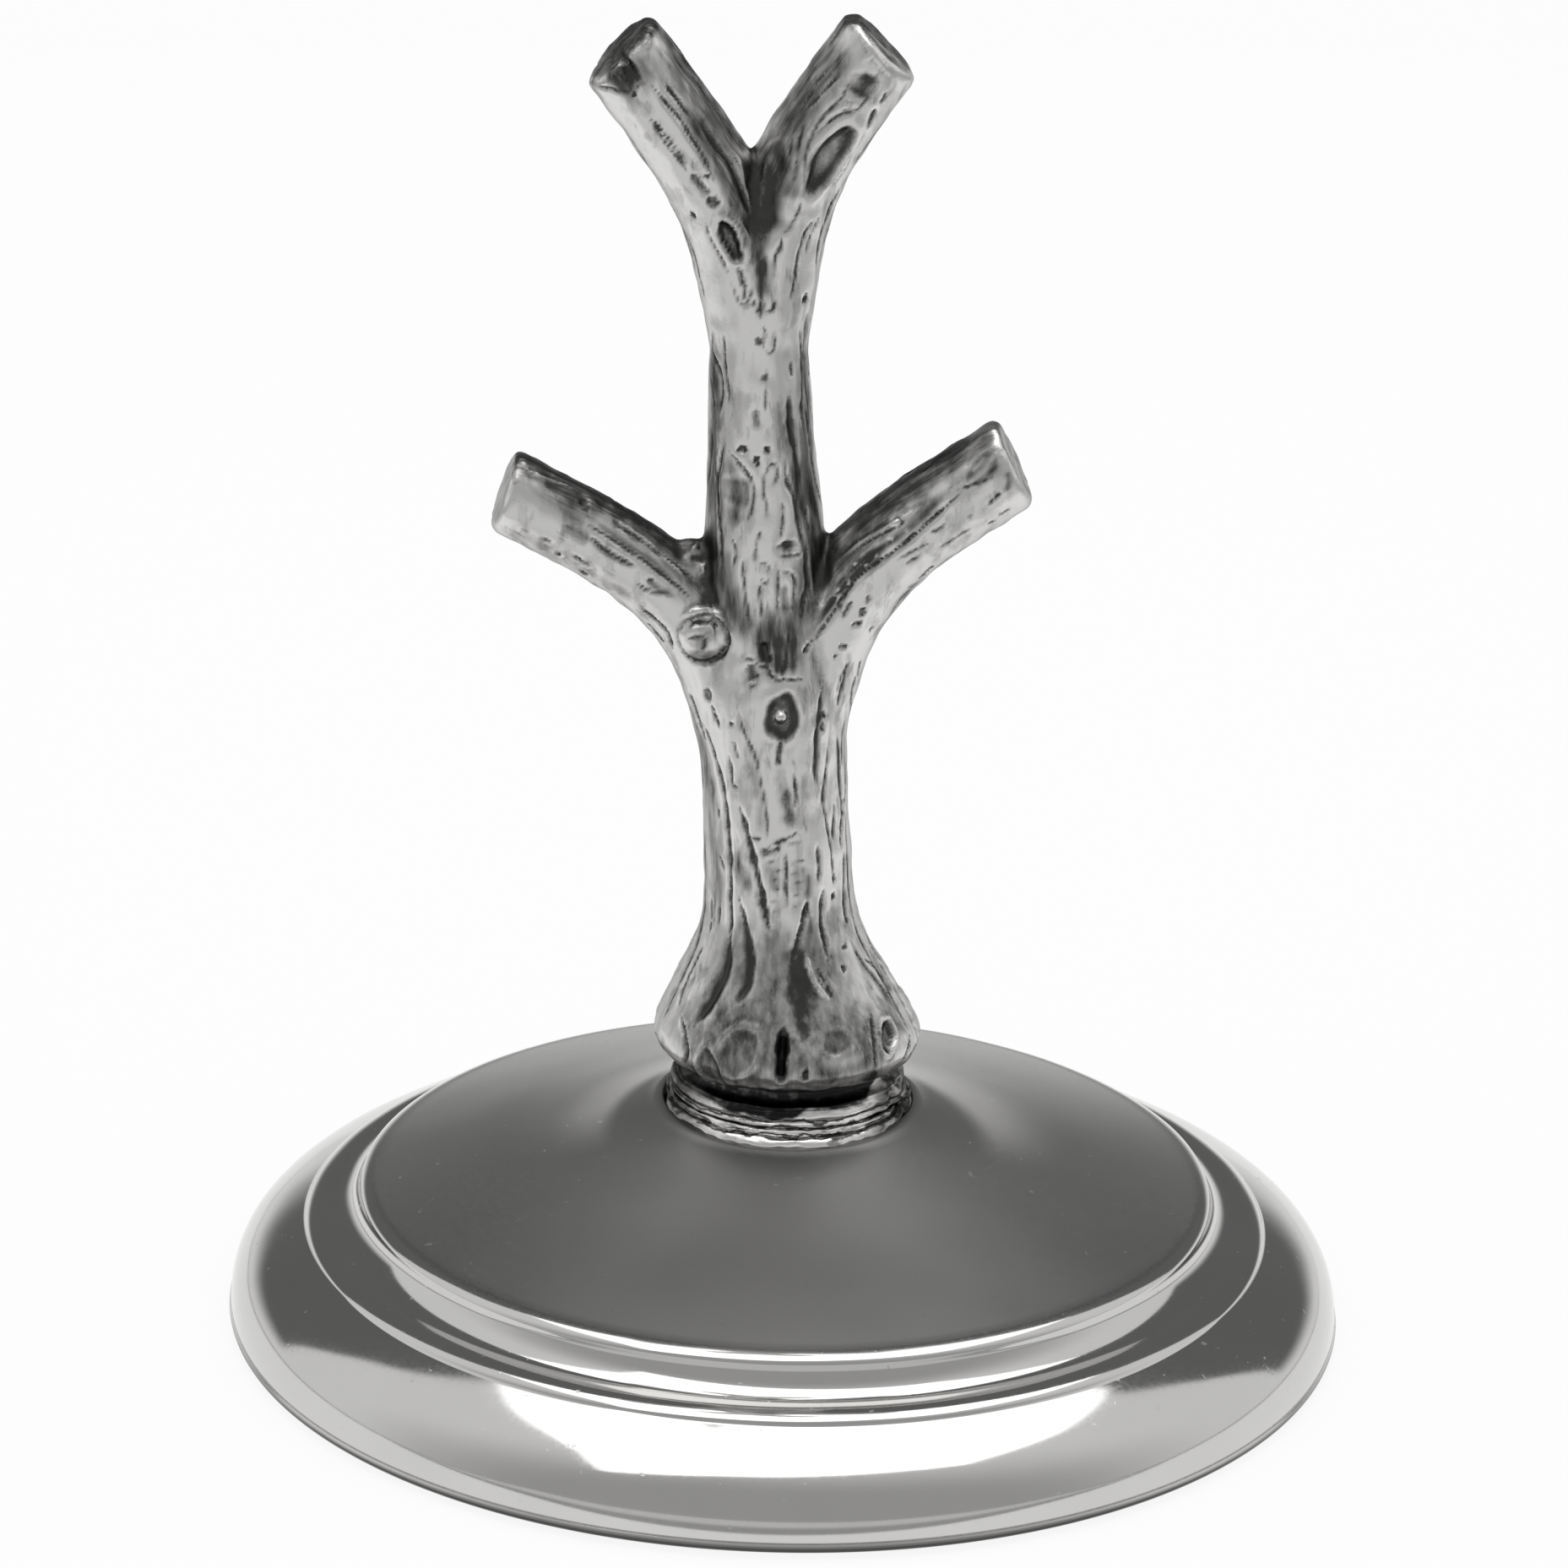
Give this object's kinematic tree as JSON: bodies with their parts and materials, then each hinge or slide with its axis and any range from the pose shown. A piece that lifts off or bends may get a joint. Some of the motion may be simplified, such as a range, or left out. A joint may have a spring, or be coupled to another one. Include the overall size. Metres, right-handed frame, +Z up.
{
  "type": "ring tree",
  "caption": "Silver ring tree: a cast trunk with lopped branches, bark, knots and a burl on a stepped round loaded foot, to hang finger rings on.",
  "frame": {"origin": "centre of the underside, on the table", "axes": "+Z up through the tree, -Y the front that the picture shows, +X to the right as the front is faced"},
  "size_m": [0.075, 0.075, 0.0885],
  "materials": {
    "oxidised_silver": "cast silver, polished on the high parts and darkened in the furrows",
    "polished_silver": "spun sheet silver with a mirror polish and fine wear",
    "solder": "silver solder left uneven and rough",
    "pitch": "dark pitch and plaster filling, hidden inside the foot",
    "board": "plain board, hidden",
    "baize": "dark green baize, short nap"
  },
  "bodies": {
    "root": {"tree_casting": "oxidised_silver", "foot_collar": "oxidised_silver", "solder_fillet": "solder", "base_shell": "polished_silver", "rim_wire": "polished_silver", "base_filling": "pitch", "closing_disc": "board", "baize_pad": "baize"}
  },
  "joints": []
}
